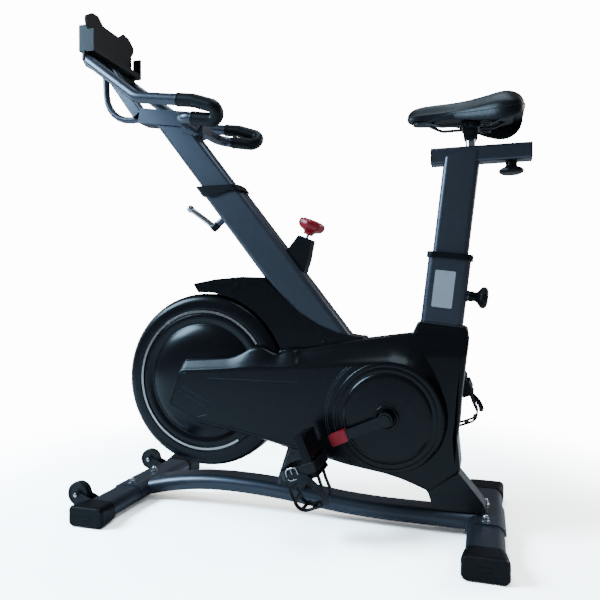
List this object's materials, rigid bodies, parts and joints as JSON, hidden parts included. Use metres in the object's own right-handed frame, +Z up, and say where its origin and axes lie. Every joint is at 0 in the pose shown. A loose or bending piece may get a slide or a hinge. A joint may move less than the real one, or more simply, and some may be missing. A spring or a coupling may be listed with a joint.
{
  "type": "exercise bike",
  "caption": "Upright indoor exercise bike with an enclosed belt-driven flywheel, sliding saddle and handlebar posts, toe-cage pedals and a tablet holder.",
  "frame": {"origin": "on the floor, under the middle of the bike's overall length and width", "axes": "+X to the rear, +Y to the rider's right, +Z up"},
  "size_m": [1.132, 0.506, 1.302],
  "materials": {
    "frame_paint": "satin metallic",
    "black_steel": "satin",
    "shell_black": "satin",
    "trim_black": "matte",
    "chrome": "polished",
    "trim_silver": "polished",
    "steel": "machined",
    "flywheel_iron": "machined",
    "belt_rubber": "ribbed",
    "wheel_rubber": "matte",
    "red_plastic": "gloss",
    "grip_rubber": "matte",
    "saddle_cover": "synthetic, satin",
    "strap": "ribbed"
  },
  "bodies": {
    "frame": {"base_tube": "frame_paint", "foot_tubes": "frame_paint", "foot_end_caps": "trim_black", "foot_bolts": "chrome", "wheel_forks": "black_steel", "rear_strut": "black_steel", "front_strut": "black_steel", "seat_tube": "frame_paint", "mast_tube": "frame_paint", "bottom_bracket_shell": "steel", "bearings": "steel", "flywheel_fork_plates": "black_steel", "drive_belt": "belt_rubber", "flywheel_housing_left": "shell_black", "flywheel_housing_right": "shell_black", "silver_trim_strips": "trim_silver", "shroud_left": "shell_black", "shroud_right": "shell_black", "cover_left": "shell_black", "cover_right": "shell_black", "cover_screws": "black_steel", "resistance_housing": "trim_black", "seat_tube_collar": "trim_black", "mast_collar": "trim_black"},
    "transport_wheel_left": {"transport_wheel_left": "wheel_rubber"},
    "transport_wheel_right": {"transport_wheel_right": "wheel_rubber"},
    "crank": {"crank_axle": "chrome", "crank_arms": "black_steel", "crank_sleeves": "red_plastic", "pedal_spindles": "chrome", "large_pulley": "trim_black"},
    "flywheel": {"flywheel": "flywheel_iron", "flywheel_axle": "steel", "small_pulley": "steel"},
    "left_pedal": {"left_pedal": "trim_black", "left_toe_cage": "trim_black", "left_toe_strap": "strap"},
    "right_pedal": {"right_pedal": "trim_black", "right_toe_cage": "trim_black", "right_toe_strap": "strap"},
    "magnet_bracket": {"magnet_bracket": "steel"},
    "brake_rod": {"brake_rod": "chrome"},
    "resistance_knob": {"resistance_knob": "red_plastic"},
    "seat_post": {"seat_post": "frame_paint", "seat_rail_tube": "frame_paint", "seat_rail_plugs": "trim_black"},
    "saddle_slider": {"saddle_slider": "chrome"},
    "saddle": {"saddle_clamp": "black_steel", "saddle_rails": "black_steel", "saddle_base": "trim_black", "saddle_cushion": "saddle_cover"},
    "seat_slide_knob": {"seat_slide_knob": "trim_black"},
    "seat_height_knob": {"seat_height_knob": "trim_black"},
    "handlebar": {"handlebar_post": "frame_paint", "handlebar_bracket": "frame_paint", "handlebar_tube": "frame_paint", "hand_grips": "grip_rubber", "console_supports": "frame_paint", "tablet_holder": "trim_black"},
    "post_lock_lever": {"post_lock_lever": "chrome"}
  },
  "joints": [
    {"name": "transport_wheel_left_spin", "type": "hinge", "parent": "frame", "child": "transport_wheel_left", "pos_m": [-0.51, -0.167, 0.049], "axis": [0, 1, 0], "continuous": true},
    {"name": "transport_wheel_right_spin", "type": "hinge", "parent": "frame", "child": "transport_wheel_right", "pos_m": [-0.51, 0.167, 0.049], "axis": [0, 1, 0], "continuous": true},
    {"name": "crank_turn", "type": "hinge", "parent": "frame", "child": "crank", "pos_m": [0.253, 0, 0.269], "axis": [0, 1, 0], "continuous": true},
    {"name": "flywheel_spin", "type": "hinge", "parent": "frame", "child": "flywheel", "pos_m": [-0.231, 0, 0.329], "axis": [0, 1, 0], "continuous": true},
    {"name": "left_pedal_spin", "type": "hinge", "parent": "crank", "child": "left_pedal", "pos_m": [0.0977, -0.165, 0.19985], "axis": [0, 1, 0], "continuous": true},
    {"name": "right_pedal_spin", "type": "hinge", "parent": "crank", "child": "right_pedal", "pos_m": [0.4083, 0.165, 0.33815], "axis": [0, 1, 0], "continuous": true},
    {"name": "resistance_knob_push", "type": "slide", "parent": "frame", "child": "brake_rod", "axis": [0.3746, 0, 0.9272], "range_m": [-0.006, 0], "stiffness_N_per_m": 1500, "springref_m": 0.005},
    {"name": "resistance_knob_turn", "type": "hinge", "parent": "brake_rod", "child": "resistance_knob", "pos_m": [0.05, 0, 0.722], "axis": [0.3746, 0, 0.9272], "range_deg": [0, 720]},
    {"name": "magnet_bracket_swing", "type": "hinge", "parent": "frame", "child": "magnet_bracket", "pos_m": [-0.03601, 0, 0.36338], "axis": [0, 1, 0], "range_deg": [0, 3]},
    {"name": "seat_height", "type": "slide", "parent": "frame", "child": "seat_post", "axis": [0.1167, 0, 0.9932], "range_m": [-0.15, 0.08]},
    {"name": "saddle_slide", "type": "slide", "parent": "seat_post", "child": "saddle_slider", "axis": [1, 0, 0], "range_m": [-0.04, 0.03]},
    {"name": "saddle_tilt", "type": "hinge", "parent": "saddle_slider", "child": "saddle", "pos_m": [0.433, 0, 0.918], "axis": [0, 1, 0], "range_deg": [-12, 12]},
    {"name": "seat_slide_knob_turn", "type": "hinge", "parent": "seat_post", "child": "seat_slide_knob", "pos_m": [0.522, 0, 0.84], "axis": [0, 0, 1], "range_deg": [-180, 180]},
    {"name": "seat_height_knob_pull", "type": "slide", "parent": "frame", "child": "seat_height_knob", "axis": [0.9932, 0, -0.1167], "range_m": [0, 0.01], "stiffness_N_per_m": 1500, "springref_m": -0.005},
    {"name": "handlebar_height", "type": "slide", "parent": "frame", "child": "handlebar", "axis": [-0.6157, 0, 0.788], "range_m": [-0.1, 0.05]},
    {"name": "post_lock_lever_turn", "type": "hinge", "parent": "frame", "child": "post_lock_lever", "pos_m": [-0.21337, 0, 0.72949], "axis": [0.788, 0, 0.6157], "range_deg": [-150, 150]}
  ],
  "couplings": [
    {"joint": "flywheel_spin", "follows": "crank_turn", "ratio": 4.5454},
    {"joint": "magnet_bracket_swing", "follows": "resistance_knob_turn", "ratio": 0.0041667}
  ]
}
